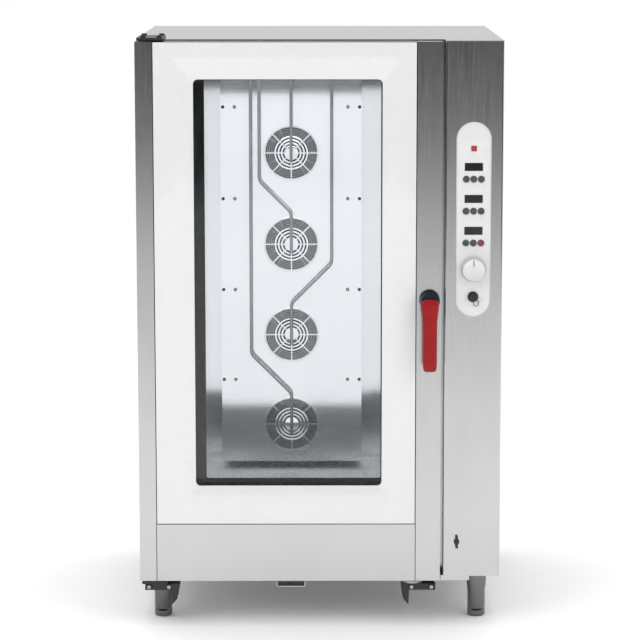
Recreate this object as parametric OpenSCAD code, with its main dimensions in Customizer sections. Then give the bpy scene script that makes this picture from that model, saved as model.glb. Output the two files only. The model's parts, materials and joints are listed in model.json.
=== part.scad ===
// Tall combi steamer oven: a steel cabinet on four feet, a glazed door hinged on the left,
// four fans behind an air baffle at the back of the chamber, and a control column on the right.
// X runs to the right, Y to the back, Z up. The origin is on the floor, under the middle of
// the overall box.

/* [Cabinet] */
// Width of the cabinet
cabinet_w = 1160; // [1140:5:1180]
// Height of the top cover above the floor
cabinet_h = 1890; // [1880:5:1930]
// Depth from the door's outer face to the back panel
cabinet_d = 1000; // [990:5:1040]
// Height of the cabinet's underside above the floor
leg_h = 150; // [145:1:160]
// Thickness of the outer sheets
sheet = 2; // [1.5:0.5:2.5]

/* [Door] */
// Width of the whole door
door_w = 968; // [960:2:972]
// Thickness of the door
door_t = 62; // [60:1:66]
// Space between the closed door and the cabinet, which the seal fills
door_gap = 14; // [14:1:18]
// Width of the steel stile on the hinge side
hinge_stile_w = 54.5; // [54:0.5:60]
// Width of the steel stile on the handle side
handle_stile_w = 80; // [76:1:84]
// Height of the steel panel under the glass
lower_panel_h = 187; // [180:1:195]
// Thickness of each pane
pane_t = 6; // [5:1:6]
// Height of the handle's spindle above the floor
spindle_z = 1067; // [1000:1:1100]
// Length of the lever from the spindle to its lower end
lever_len = 221; // [200:1:240]

/* [Cooking chamber] */
// Width inside the chamber
chamber_w = 700; // [680:5:710]
// Sideways place of the chamber's middle
chamber_x = -97; // [-100:1:-94]
// Height of the chamber floor's rim
chamber_floor_z = 390; // [380:1:394]
// Height of the chamber's ceiling
chamber_top_z = 1805; // [1800:1:1810]
// Distance of the air baffle behind the door's outer face
baffle_depth = 660; // [640:5:670]
// Depth of the fan space behind the baffle
fan_space = 120; // [116:1:126]
// Width of the air baffle
baffle_w = 482; // [470:1:500]

/* [Fans] */
// Height of the lowest fan's axis
fan_z = 532; // [529:1:535]
// Distance between fan axes
fan_pitch = 314; // [312:0.5:315]
// Outer radius of a fan wheel
wheel_r = 105; // [95:1:110]
// Radius of a fan grille
grille_r = 95; // [92:1:98]

/* [Control column] */
// Space between the door and the column
column_gap = 9; // [8:0.5:10]
// Width of the white control panel
panel_w = 111; // [108:1:112]
// Height of the white control panel
panel_h = 621; // [610:1:630]
// Radius of a push button
button_r = 10.3; // [9:0.1:10.4]
// Travel of a push button
button_travel = 1.5; // [1:0.1:2]
// Radius of the knob's skirt
knob_r = 41; // [38:1:43]

/* [Feet] */
// Distance of each foot from the cabinet's middle
foot_x = 514; // [505:1:520]
// Radius of a foot's adjustable part
foot_r = 29; // [27:0.5:30]

/* [Hidden] */
FANS = 4;
ROWS = 3;
COLUMNS = 3;

handle_out = 66;                       // lever in front of the door
pipe_out = 35;                         // connections behind the back panel
front_y = -(cabinet_d + pipe_out - handle_out) / 2;
back_y = front_y + cabinet_d;
left_x = -cabinet_w / 2;
right_x = cabinet_w / 2;
frame_y = front_y + door_t + door_gap; // front of the cabinet's frame

door_top = cabinet_h - 3.5;
door_right = left_x + door_w;
glass_l = left_x + hinge_stile_w;
glass_r = door_right - handle_stile_w;
glass_z = leg_h + lower_panel_h;
rail_h = 45;
rest_gap = 0.3;                        // space between neighbouring pieces
seam = 0.1;                            // left between joined sheets, so each is its own solid

pivot_x = left_x + 26;
pivot_y = front_y + 26;
pin_r = 8;
pin_gap = 0.08;
spindle_x = door_right - 38.5;
spindle_r = 11;

chamber_l = chamber_x - chamber_w / 2;
chamber_r = chamber_x + chamber_w / 2;
baffle_y = front_y + baffle_depth;
chamber_back_y = baffle_y + fan_space;
baffle_z = chamber_floor_z + 11;
baffle_top = chamber_top_z - 12;
liner_t = 2;
wool_t = 48;
drain_y = (frame_y + baffle_y) / 2;
drain_r = 25;
drain_z = leg_h + 60;

shaft_r = 10;
injector_r = 5.5;
injector_y = baffle_y - 24;

column_x = door_right + column_gap;
panel_x = (column_x + right_x) / 2 - 1.5;
panel_z = cabinet_h - 565;
panel_t = 4;
panel_y = front_y - panel_t;           // face of the control panel
board_y = front_y + 22;
display_z = panel_z + 168;
row_pitch = 101.5;
button_pitch = 23.7;
button_drop = 39;
knob_z = panel_z - 155.5;
socket_z = panel_z - 246;
lamp_z = panel_z + 226;
latch_x = column_x + 44;
latch_z = leg_h + 130;

foot_y_front = front_y + 135;
foot_y_back = back_y - 85;
sleeve_r = 33;
sleeve_h = 55;

inlet_x = right_x - 130;
inlet_z = leg_h + 150;
gland_x = right_x - 60;
vent_x = chamber_x;
vent_z = cabinet_h - 70;

STEEL = [0.62, 0.62, 0.63];
LINER = [0.80, 0.81, 0.84];
DARK = [0.12, 0.12, 0.13];
WHITE = [0.95, 0.95, 0.95];
RED = [0.68, 0.06, 0.06];

$fn = 64;

// ---- helpers ----

// A box given by its lowest and highest corners
module slab(low, high) {
    translate(low) cube(high - low);
}

// A child drawn along +Z, laid along +Y with its start at a point
module along_y(point) {
    translate(point) rotate([-90, 0, 0]) children();
}

module rod_y(point, r, length) {
    along_y(point) cylinder(r = r, h = length);
}

// A round bar between two points
module bar(a, b, r) {
    v = b - a;
    length = norm(v);
    translate(a) rotate([0, acos(v[2] / length), atan2(v[1], v[0])])
        cylinder(r = r, h = length, $fn = 32);
}

// A bar along a list of points, with a slightly fuller ball at each bend
module bent_pipe(points, r) {
    for (i = [1 : len(points) - 1]) bar(points[i - 1], points[i], r);
    if (len(points) > 2) for (i = [1 : len(points) - 2])
        translate(points[i]) sphere(r = r + 0.6, $fn = 32);
}

// An upright oval plate in the XZ plane, from y0 to y0 + t
module stadium(x, z, w, h, y0, t) {
    slab([x - w / 2, y0, z - h / 2 + w / 2], [x + w / 2, y0 + t, z + h / 2 - w / 2]);
    for (s = [-1, 1]) rod_y([x, y0, z + s * (h - w) / 2], w / 2, t);
}

function fan_height(i) = fan_z + (i - 1) * fan_pitch;
function button_x(column) = panel_x + (column - 2) * button_pitch;
function row_z(row) = display_z - (row - 1) * row_pitch;

// ---- base and feet ----

module base_tray() color(STEEL) {
    edge = 24.5;
    low = [left_x + edge, frame_y + 10, leg_h];
    high = [right_x - edge, back_y - 6, leg_h + 30];
    difference() {
        slab(low, high);
        slab(low + [sheet, sheet, sheet], high + [-sheet, -sheet, 1]);
    }
}

module foot_sleeves() color(STEEL)
    for (x = [-foot_x, foot_x], y = [foot_y_front, foot_y_back]) translate([x, y, leg_h - sleeve_h])
        difference() {
            cylinder(r = sleeve_r, h = sleeve_h);
            translate([0, 0, -1]) cylinder(r = foot_r + 0.5, h = sleeve_h - 5);
        }

module foot(x, y) color(STEEL) translate([x, y, 0]) {
    rotate_extrude() polygon([
        [0, 0], [foot_r - 3, 0], [foot_r, 3], [foot_r, leg_h - 10], [0, leg_h - 10]
    ]);
}
module foot_front_left() foot(-foot_x, foot_y_front);
module foot_front_right() foot(foot_x, foot_y_front);
module foot_back_left() foot(-foot_x, foot_y_back);
module foot_back_right() foot(foot_x, foot_y_back);

// ---- outer covers ----

// Side sheet with a fold along its front and back edges; s is -1 on the left, 1 on the right
module side_panel(s) color(STEEL) {
    fold = 20;
    top = cabinet_h - 24;
    outside = s * cabinet_w / 2;
    inside = outside - s * sheet;
    lip = inside - s * fold;
    slab([min(outside, inside), frame_y + 0.5, leg_h], [max(outside, inside), back_y, top]);
    for (y = [frame_y + 6, back_y - sheet - 2.5])
        slab([min(outside, lip), y, leg_h], [max(outside, lip), y + sheet, top]);
}
module side_panel_left() side_panel(-1);
module side_panel_right() side_panel(1);

module back_panel() color(STEEL) {
    slot_w = 90;
    slots = 9;
    difference() {
        slab([left_x + sheet + 0.5, back_y - sheet, leg_h],
             [right_x - sheet - 0.5, back_y, cabinet_h - 24]);
        rod_y([vent_x, back_y - 5, vent_z], 40.5, 10);
        rod_y([chamber_x, back_y - 5, drain_z], drain_r + 0.5, 10);
        rod_y([inlet_x, back_y - 5, inlet_z], 13.7, 10);
        rod_y([gland_x, back_y - 5, inlet_z], 16.5, 10);
        for (i = [1 : FANS - 1], x = [-1, 1], k = [0 : slots - 1])
            translate([chamber_x + x * 150 - slot_w / 2, back_y - 5,
                       fan_height(i) + fan_pitch / 2 + (k - (slots - 1) / 2) * 14])
                cube([slot_w, 10, 5]);
    }
}

module top_cover() color(STEEL) {
    lip = 22;
    difference() {
        slab([left_x, frame_y, cabinet_h - lip], [right_x, back_y, cabinet_h]);
        slab([left_x + sheet, frame_y + sheet, cabinet_h - lip - 1],
             [right_x - sheet, back_y - sheet, cabinet_h - sheet]);
    }
    slab([column_x, front_y, cabinet_h - sheet], [right_x, frame_y + 1, cabinet_h]);
}

module column_front() color(STEEL) {
    top = cabinet_h - sheet - 0.3;
    low = leg_h + 16;
    corner = 5;
    difference() {
        union() {
            slab([column_x, front_y + corner, low], [right_x, frame_y, top]);
            slab([column_x + corner, front_y, low], [right_x - corner, frame_y, top]);
            for (x = [column_x + corner, right_x - corner]) translate([x, front_y + corner, low])
                cylinder(r = corner, h = top - low);
        }
        slab([column_x + sheet, front_y + sheet, low + sheet],
             [right_x - sheet, frame_y + 1, top - sheet]);
        slab([panel_x - 45, front_y - 1, panel_z - 285], [panel_x + 45, front_y + 5, panel_z + 285]);
        rod_y([latch_x, front_y - 1, latch_z], 5.3, 10);
    }
    slab([column_x - 6, front_y + 10, low - 17], [column_x + 86, frame_y, low]);
}

// ---- chamber ----

// Four bars round the mouth of the chamber
module front_frame() color(STEEL) {
    y1 = frame_y + 4;
    x0 = left_x + sheet + 0.5;
    x1 = column_x + 60;
    slab([x0, frame_y, leg_h + 1], [x1, y1, chamber_floor_z]);
    slab([x0, frame_y, chamber_top_z], [x1, y1, cabinet_h - 24]);
    slab([x0, frame_y, chamber_floor_z + seam], [chamber_l, y1, chamber_top_z - seam]);
    slab([chamber_r, frame_y, chamber_floor_z + seam], [x1, y1, chamber_top_z - seam]);
}

module door_seal() color(DARK) {
    w = 14;
    out = 20;
    difference() {
        slab([chamber_l - out, frame_y - door_gap + rest_gap, chamber_floor_z - out],
             [chamber_r + out, frame_y, chamber_top_z + out]);
        slab([chamber_l - out + w, frame_y - door_gap - 1, chamber_floor_z - out + w],
             [chamber_r + out - w, frame_y + 1, chamber_top_z + out - w]);
    }
}

// Two side sheets, a ceiling and a back with a hole for each fan's shaft
module chamber_liner() color(LINER) {
    y0 = frame_y + 4.5;
    z0 = chamber_floor_z - 22;
    slab([chamber_l - liner_t, y0, z0], [chamber_l, chamber_back_y, chamber_top_z]);
    slab([chamber_r, y0, z0], [chamber_r + liner_t, chamber_back_y, chamber_top_z]);
    slab([chamber_l - liner_t, y0, chamber_top_z + seam],
         [chamber_r + liner_t, chamber_back_y + liner_t, chamber_top_z + liner_t]);
    difference() {
        slab([chamber_l - liner_t, chamber_back_y + seam, z0],
             [chamber_r + liner_t, chamber_back_y + liner_t, chamber_top_z]);
        for (i = [1 : FANS]) rod_y([chamber_x, chamber_back_y - 1, fan_height(i)], shaft_r + 4, 5);
    }
}

// The floor falls from its rim to the drain
module chamber_floor() color(LINER) {
    fall = 14;
    wall = 2;
    low = [chamber_l + 0.5, frame_y + 5, chamber_floor_z - 20];
    high = [chamber_r - 0.5, chamber_back_y - 0.5, chamber_floor_z];
    difference() {
        slab(low, high);
        polyhedron(
            points = [
                [low[0] + 6, low[1] + 6, high[2] + 0.01], [high[0] - 6, low[1] + 6, high[2] + 0.01],
                [high[0] - 6, high[1] - 6, high[2] + 0.01], [low[0] + 6, high[1] - 6, high[2] + 0.01],
                [chamber_x, drain_y, high[2] - fall]
            ],
            faces = [[3, 2, 1, 0], [0, 1, 4], [1, 2, 4], [2, 3, 4], [3, 0, 4]]);
        translate([chamber_x, drain_y, low[2] - 1]) cylinder(r = drain_r - wall, h = 30);
    }
}

module insulation() color([0.85, 0.80, 0.55]) {
    y0 = frame_y + 10;
    y1 = chamber_back_y;
    z0 = chamber_floor_z - 22;
    top = chamber_top_z + liner_t + 0.5;
    for (s = [-1, 1]) {
        near = chamber_x + s * (chamber_w / 2 + liner_t + 0.5);
        far = near + s * wool_t;
        slab([min(near, far), y0, z0], [max(near, far), y1, top]);
    }
    slab([chamber_l - wool_t, y0, top + 0.5], [chamber_r + wool_t, y1, top + 0.5 + wool_t]);
    difference() {
        slab([chamber_l, y0, z0 - wool_t - 1], [chamber_r, y1, z0 - 1]);
        translate([chamber_x, drain_y, z0 - wool_t - 2]) cylinder(r = drain_r + 4, h = wool_t + 4);
    }
    for (i = [1 : FANS - 1])
        slab([chamber_l, chamber_back_y + liner_t + 0.5, fan_height(i) + 95],
             [chamber_r, chamber_back_y + wool_t, fan_height(i + 1) - 95]);
}

module air_baffle() color(LINER) {
    screw_x = 193;
    difference() {
        slab([chamber_x - baffle_w / 2, baffle_y, baffle_z],
             [chamber_x + baffle_w / 2, baffle_y + liner_t, baffle_top]);
        for (i = [1 : FANS]) rod_y([chamber_x, baffle_y - 1, fan_height(i)], grille_r - 5, 5);
    }
    for (i = [1 : FANS], s = [-1, 1]) {
        z = fan_height(i) + fan_pitch / 2;
        rod_y([chamber_x + s * screw_x, baffle_y - 3, z], 5, 4);
        rod_y([chamber_x + s * screw_x, baffle_y + 1, z], 6, fan_space - 1);
    }
}

// ---- fans and heating ----

module grille() {
    hub_r = 24;
    rings = 9;
    step = (grille_r - hub_r) / rings;
    difference() {
        cylinder(r = grille_r, h = 2, $fn = 96);
        for (k = [0 : rings - 1]) translate([0, 0, -1]) difference() {
            cylinder(r = hub_r + (k + 0.62) * step, h = 4);
            translate([0, 0, -1]) cylinder(r = hub_r + k * step, h = 6);
        }
    }
    for (k = [0 : 3]) rotate([0, 0, k * 45])
        translate([1 - grille_r, -2, 0]) cube([2 * grille_r - 2, 4, 2]);
}
module fan_grilles() color(LINER)
    for (i = [1 : FANS]) along_y([chamber_x, baffle_y - 2, fan_height(i)]) grille();

module fan_wheel(i) color(LINER) along_y([chamber_x, baffle_y + 28, fan_height(i)]) {
    blades = 12;
    depth = 62;
    translate([0, 0, depth - 3]) cylinder(r = wheel_r, h = 3);
    cylinder(r = 26, h = depth);
    for (k = [0 : blades - 1]) rotate([0, 0, k * 360 / blades])
        translate([wheel_r * 0.6, -1.5, 0]) cube([wheel_r * 0.38, 3, depth - 1]);
    difference() {
        cylinder(r = wheel_r, h = 3);
        translate([0, 0, -1]) cylinder(r = wheel_r - 12, h = 5);
    }
    cylinder(r = shaft_r, h = fan_space - 28 + 40);
}
module fan_wheel_1() fan_wheel(1);
module fan_wheel_2() fan_wheel(2);
module fan_wheel_3() fan_wheel(3);
module fan_wheel_4() fan_wheel(4);

module fan_motors() color(STEEL)
    for (i = [1 : FANS]) along_y([chamber_x, chamber_back_y + liner_t, fan_height(i)])
        difference() {
            union() {
                cylinder(r = 86, h = 8);
                cylinder(r = 68, h = 128);
                translate([0, 0, 128]) cylinder(r = 30, h = 8);
                translate([-25, -95, 40]) cube([50, 40, 60]);
            }
            translate([0, 0, -1]) cylinder(r = shaft_r + 0.4, h = 56);
        }

module heating_elements() color([0.35, 0.33, 0.33]) {
    ring_r = 128;
    tube_r = 4.3;
    lead_r = 3.5;
    turn = 16;
    for (i = [1 : FANS]) along_y([chamber_x, baffle_y + 42, fan_height(i)]) {
        for (k = [0 : 2]) translate([0, 0, k * turn]) rotate_extrude()
            translate([ring_r, 0]) circle(r = tube_r, $fn = 24);
        for (a = [90, 210, 330]) rotate([0, 0, a])
            translate([ring_r - 3, -5, -2]) cube([6, 10, 2 * turn + 4]);
        for (a = [-8, 8]) rotate([0, 0, a]) translate([ring_r, 0, 2 * turn])
            cylinder(r = lead_r, h = fan_space - 42 - 2 * turn, $fn = 24);
    }
}

// Each pipe comes down from the ceiling beside the fans and ends at its own fan's middle
module injector_pipes() color(LINER) {
    side = [138, 138, 109];
    for (i = [1 : FANS]) {
        tip = [chamber_x, injector_y, fan_height(i) - 30];
        if (i == FANS) bent_pipe([[chamber_x, injector_y, chamber_top_z], tip], injector_r);
        else {
            x = chamber_x + (i == 2 ? 1 : -1) * side[i - 1];
            bend = fan_height(i) + 112;
            bent_pipe([
                [x, injector_y, chamber_top_z], [x, injector_y, bend + side[i - 1]],
                [chamber_x, injector_y, bend], tip
            ], injector_r);
        }
    }
}

module chamber_lamps() color([1, 0.97, 0.85])
    for (s = [-1, 1]) translate([chamber_x + s * 200, drain_y, chamber_top_z - 9])
        cylinder(r = 42, h = 9);

// ---- connections ----

// A bent tube from the chamber floor to a wider stub behind the back panel
module drain_pipe() color(STEEL) {
    tube_r = drain_r - 0.8;
    bore = drain_r - 2.5;
    top = chamber_floor_z - 20;
    bend = [chamber_x, drain_y, drain_z];
    difference() {
        union() {
            translate(bend) cylinder(r = tube_r, h = top - drain_z);
            translate(bend) sphere(r = tube_r);
            rod_y(bend, tube_r, back_y + 1 - drain_y);
            rod_y([chamber_x, back_y, drain_z], drain_r, pipe_out);
        }
        translate(bend) cylinder(r = bore, h = top - drain_z + 1);
        translate(bend) sphere(r = bore);
        rod_y(bend, bore, back_y + pipe_out - drain_y + 1);
    }
}

module steam_vent() color(STEEL) {
    r = 40;
    length = 130;
    difference() {
        rod_y([vent_x, back_y + pipe_out - length, vent_z], r, length);
        rod_y([vent_x, back_y + pipe_out - length - 1, vent_z], r - 2, length + 2);
    }
}

module water_inlet() color([0.75, 0.60, 0.30]) {
    r = 13.2;
    difference() {
        union() {
            rod_y([inlet_x, back_y - 70, inlet_z], r - 1, 71);
            rod_y([inlet_x, back_y, inlet_z], r, 30);
            slab([inlet_x - 22, back_y - 90, inlet_z - 22], [inlet_x + 22, back_y - 40, inlet_z + 22]);
            translate([inlet_x, back_y - 65, inlet_z + 20]) cylinder(r = 18, h = 42);
        }
        rod_y([inlet_x, back_y - 20, inlet_z], 8, 60);
    }
}

module cable_gland() color(DARK) {
    difference() {
        union() {
            rod_y([gland_x, back_y - 12, inlet_z], 16, 14);
            along_y([gland_x, back_y, inlet_z]) cylinder(r = 23, h = 8, $fn = 6);
            rod_y([gland_x, back_y + 8, inlet_z], 18, 20);
        }
        rod_y([gland_x, back_y - 13, inlet_z], 10, 60);
    }
}

module contactor_rail() color([0.35, 0.36, 0.38]) {
    x = column_x + 30;
    y = front_y + 260;
    low = 700;
    pitch = 92;
    slab([x, y, low], [right_x - sheet, y + 3, low + 5 * pitch + 20]);
    for (k = [0 : 4])
        slab([x + 12, y - 70, low + 25 + k * pitch], [x + 108, y + 1, low + 90 + k * pitch]);
}

// ---- door hardware on the cabinet ----

module hinge_brackets() color(DARK) {
    x0 = pivot_x - 20;
    x1 = pivot_x + 62;
    slab([x0, front_y + 5, cabinet_h], [x1, front_y + 190, cabinet_h + 8]);
    translate([pivot_x, pivot_y, door_top - 30]) cylinder(r = pin_r, h = cabinet_h - door_top + 31);
    for (p = [[pivot_x, pivot_y], [x1 - 12, pivot_y + 12], [x0 + 14, front_y + 170],
              [x1 - 12, front_y + 170]])
        translate([p[0], p[1], cabinet_h + 7]) cylinder(r = 9, h = 7);
    slab([x0, front_y + 5, leg_h - 12], [x1, front_y + 100, leg_h - 4]);
    slab([x0 + 20, frame_y + 10.5, leg_h - 5], [x1, front_y + 100, leg_h]);
    translate([pivot_x, pivot_y, leg_h - 5]) cylinder(r = pin_r, h = 35);
}

// A hook seen from the front; s is 1 with its tooth on the right, -1 mirrored
module docking_hook(x, s) translate([x, front_y, leg_h]) mirror([s < 0 ? 1 : 0, 0, 0]) {
    outline = [
        [-55, -33], [-55, -12.3], [55, -12.3], [54, -40], [49, -62], [32, -82], [30, -33]
    ];
    translate([0, 30, 0]) rotate([90, 0, 0]) linear_extrude(20) polygon(outline);
    slab([-55, 29, -33], [55, 98, -26]);
    slab([-55, 88, -33], [55, 98, s < 0 ? 0 : -12.3]);
    for (b = [-42, 22]) rod_y([b, 3, -22], 7.5, 10);
}
module docking_hooks() color(DARK) {
    docking_hook(chamber_x - 413, 1);
    docking_hook(chamber_x + 416, -1);
}

module drip_spout() color(STEEL) {
    x = chamber_x + 4;
    difference() {
        slab([x - 46, front_y + 10, leg_h - 22], [x + 46, front_y + 100, leg_h - 5]);
        slab([x - 43, front_y + 5, leg_h - 19], [x + 43, front_y + 97, leg_h]);
    }
    slab([x - 46, frame_y + 11, leg_h - 6], [x + 46, front_y + 100, leg_h]);
}

// ---- door ----

module door_stile_hinge() color(STEEL) {
    block = 40;
    x1 = glass_l - rest_gap;
    difference() {
        slab([left_x, front_y, leg_h], [x1, front_y + door_t, door_top]);
        slab([left_x + sheet, front_y + sheet, leg_h + block],
             [x1 + 1, front_y + door_t - sheet, door_top - block]);
        for (z = [leg_h - 1, door_top - 33]) translate([pivot_x, pivot_y, z])
            cylinder(r = pin_r + pin_gap, h = 34);
    }
}

module door_stile_handle() color(STEEL) difference() {
    slab([glass_r + rest_gap, front_y, leg_h], [door_right, front_y + door_t, door_top]);
    slab([glass_r - 1, front_y + sheet, leg_h + sheet],
         [door_right - sheet, front_y + door_t - sheet, door_top - sheet]);
    rod_y([spindle_x, front_y - 1, spindle_z], spindle_r + 0.3, door_t + 2);
}

module door_lower_panel() color(STEEL) {
    top = glass_z - rest_gap;
    difference() {
        slab([glass_l, front_y, leg_h], [glass_r, front_y + door_t, top]);
        slab([glass_l + sheet, front_y + sheet, leg_h + sheet],
             [glass_r - sheet, front_y + door_t - sheet, top + 1]);
    }
}

module door_top_rail() color(STEEL) {
    low = [glass_l, front_y + pane_t + rest_gap, door_top - rail_h];
    high = [glass_r, front_y + door_t, door_top];
    difference() {
        slab(low, high);
        slab(low + [-1, sheet, -1], high + [1, -sheet, -sheet]);
    }
}

module outer_glass() color([0.9, 0.95, 0.95, 0.4])
    slab([glass_l + rest_gap, front_y, glass_z], [glass_r - rest_gap, front_y + pane_t, door_top]);

module inner_glass() color([0.8, 0.9, 0.9, 0.4])
    slab([glass_l + rest_gap, front_y + door_t - pane_t - 2, glass_z + 0.5],
         [glass_r - rest_gap, front_y + door_t - 2, door_top - rail_h - rest_gap]);

module handle_boss() color([0.08, 0.09, 0.12]) {
    rod_y([spindle_x, front_y - 40, spindle_z], 32.5, 39.5);
    rod_y([spindle_x, front_y - 1, spindle_z], spindle_r, door_t + 4);
}

module handle_lever() color(RED) {
    top_w = 56;
    end_w = 44;
    z0 = -lever_len;
    outline = [
        [-top_w / 2, 10], [top_w / 2, 10], [top_w / 2, -30], [end_w / 2 + 3, z0 + 12],
        [end_w / 2 - 4, z0], [-end_w / 2 + 2, z0], [-end_w / 2 - 3, z0 + 12], [-top_w / 2, -30]
    ];
    translate([spindle_x, front_y - 40, spindle_z]) rotate([90, 0, 0])
        linear_extrude(handle_out - 40) polygon(outline);
}

// The finger on the spindle's inner end turns down and clear of the strike
module latch_hook() color(STEEL) {
    y = front_y + door_t + 3;
    rod_y([spindle_x, y, spindle_z], 16, 6);
    slab([spindle_x, y, spindle_z - 9], [spindle_x + 34, y + 6, spindle_z + 9]);
}

// ---- control column ----

module control_panel() color(WHITE) difference() {
    stadium(panel_x, panel_z, panel_w, panel_h, panel_y, panel_t);
    for (row = [1 : ROWS]) {
        slab([panel_x - 29, panel_y - 1, row_z(row) - 13], [panel_x + 29, front_y + 1, row_z(row) + 13]);
        for (c = [1 : COLUMNS])
            rod_y([button_x(c), panel_y - 1, row_z(row) - button_drop], button_r + 0.4, panel_t + 2);
    }
    slab([panel_x - 9, panel_y - 1, lamp_z - 9], [panel_x + 9, front_y + 1, lamp_z + 9]);
    rod_y([panel_x, panel_y - 1, knob_z], 6.3, panel_t + 2);
    rod_y([panel_x, panel_y - 1, socket_z], 13.2, panel_t + 2);
}

// The board hangs on four posts behind the control panel
module control_board() color([0.05, 0.30, 0.14]) {
    low = panel_z - 190;
    high = panel_z + 275;
    slab([panel_x - 42, board_y, low], [panel_x + 42, board_y + 2, high]);
    for (s = [-1, 1], z = [low + 10, high - 10])
        rod_y([panel_x + s * 37, front_y, z], 4, board_y - front_y + 1);
}

module displays() color([0.03, 0.03, 0.04])
    for (row = [1 : ROWS])
        slab([panel_x - 28.8, panel_y + 0.8, row_z(row) - 12.8],
             [panel_x + 28.8, front_y + 8, row_z(row) + 12.8]);

module power_lamp() color(RED)
    slab([panel_x - 8.8, panel_y - 0.6, lamp_z - 8.8], [panel_x + 8.8, front_y + 6, lamp_z + 8.8]);

// The stem stays clear of the board when the button is fully in
module push_button(row, column) color([0.28, 0.28, 0.30]) {
    proud = 3;
    stem = board_y - panel_y + proud - button_travel - 2.5;
    along_y([button_x(column), panel_y - proud, row_z(row) - button_drop]) {
        cylinder(r = button_r, h = panel_t + 5);
        translate([0, 0, panel_t + proud + rest_gap]) cylinder(r = button_r + 1, h = 2);
        cylinder(r = 3, h = stem);
    }
}
module button_1_1() push_button(1, 1);
module button_1_2() push_button(1, 2);
module button_1_3() push_button(1, 3);
module button_2_1() push_button(2, 1);
module button_2_2() push_button(2, 2);
module button_2_3() push_button(2, 3);
module button_3_1() push_button(3, 1);
module button_3_2() push_button(3, 2);
module button_3_3() push_button(3, 3);

module control_knob() color([0.75, 0.75, 0.77]) {
    depth = 44;
    translate([panel_x, panel_y - 0.4, knob_z]) rotate([90, 0, 0]) rotate_extrude()
        polygon([
            [0, 0], [knob_r, 0], [knob_r, 4], [knob_r - 3, 6], [knob_r - 5, depth - 3],
            [knob_r - 8, depth], [0, depth]
        ]);
    rod_y([panel_x, panel_y - 1, knob_z], 6, panel_t + 20);
}

module probe_socket() color([0.35, 0.35, 0.37]) difference() {
    union() {
        rod_y([panel_x, panel_y - 2.5, socket_z], 17, 2.5);
        rod_y([panel_x, panel_y - 1, socket_z], 13, panel_t + 19);
    }
    rod_y([panel_x, panel_y - 3, socket_z], 9.9, 22);
}

module probe_cap() color(DARK) {
    y = panel_y - 2.8;
    rod_y([panel_x, y - 11, socket_z], 14.5, 11);
    rod_y([panel_x, y - 1, socket_z], 9.6, 16);
    along_y([panel_x + 9, y - 6, socket_z - 20]) rotate_extrude()
        translate([9, 0]) circle(r = 1.2, $fn = 24);
}

module service_latch() color(DARK) {
    rod_y([latch_x, front_y - 5.3, latch_z], 9, 5);
    rod_y([latch_x, front_y - 1, latch_z], 5, 18);
    slab([latch_x - 4, front_y - 18, latch_z - 18.5], [latch_x + 4, front_y - 5, latch_z + 18.5]);
    slab([latch_x - 34, front_y + 12, latch_z - 7], [latch_x + 8, front_y + 15, latch_z + 7]);
}

// ---- nodes ----

base_tray();
foot_sleeves();
foot_front_left();
foot_front_right();
foot_back_left();
foot_back_right();
side_panel_left();
side_panel_right();
back_panel();
top_cover();
front_frame();
door_seal();
chamber_liner();
chamber_floor();
insulation();
air_baffle();
fan_grilles();
fan_wheel_1();
fan_wheel_2();
fan_wheel_3();
fan_wheel_4();
fan_motors();
heating_elements();
injector_pipes();
chamber_lamps();
drain_pipe();
steam_vent();
water_inlet();
cable_gland();
contactor_rail();
hinge_brackets();
docking_hooks();
drip_spout();
door_stile_hinge();
door_stile_handle();
door_lower_panel();
door_top_rail();
outer_glass();
inner_glass();
handle_boss();
handle_lever();
latch_hook();
column_front();
control_panel();
control_board();
displays();
power_lamp();
button_1_1();
button_1_2();
button_1_3();
button_2_1();
button_2_2();
button_2_3();
button_3_1();
button_3_2();
button_3_3();
control_knob();
probe_socket();
probe_cap();
service_latch();
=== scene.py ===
import json
import math

import bmesh
import bpy
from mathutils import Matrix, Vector


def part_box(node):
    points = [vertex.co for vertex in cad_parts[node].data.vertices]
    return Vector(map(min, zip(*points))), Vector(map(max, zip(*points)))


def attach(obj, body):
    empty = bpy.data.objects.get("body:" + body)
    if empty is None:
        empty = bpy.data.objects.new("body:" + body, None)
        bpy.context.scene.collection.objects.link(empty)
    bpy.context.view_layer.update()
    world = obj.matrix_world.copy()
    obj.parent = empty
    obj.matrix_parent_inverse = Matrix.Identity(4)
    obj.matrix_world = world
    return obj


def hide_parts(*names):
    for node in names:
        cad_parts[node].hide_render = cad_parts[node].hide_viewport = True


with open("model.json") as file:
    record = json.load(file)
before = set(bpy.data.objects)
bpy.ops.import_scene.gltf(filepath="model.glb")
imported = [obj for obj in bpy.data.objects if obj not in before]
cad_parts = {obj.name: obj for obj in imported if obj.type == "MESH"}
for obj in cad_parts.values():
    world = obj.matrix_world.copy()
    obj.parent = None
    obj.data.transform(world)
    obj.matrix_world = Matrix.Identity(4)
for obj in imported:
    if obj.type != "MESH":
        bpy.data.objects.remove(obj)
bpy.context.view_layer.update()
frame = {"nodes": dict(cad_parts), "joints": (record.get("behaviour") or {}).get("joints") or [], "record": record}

NODES = frame["nodes"]
JOINTS = {j["name"]: j for j in frame["joints"]}
FANS = (1, 2, 3, 4)              # from the lowest up
FEET = ("front_left", "front_right", "back_left", "back_right")
FAN_POINTS = [Vector(JOINTS[f"fan_{i}_spin"]["pos_m"]) for i in FANS]
FRONT_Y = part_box("outer_glass")[0].y
FORWARD, BACKWARD, UP = (0, -1, 0), (0, 1, 0), (0, 0, 1)
SMOOTH_ANGLE = math.radians(32)
JOIN_DIST = 1e-6                 # points nearer than this become one

# ---- materials ----

NOISE_LOW, NOISE_HIGH = 0.3, 0.7    # the part of its range that a noise mostly fills
BRUSH_BUMP = 0.12


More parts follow.
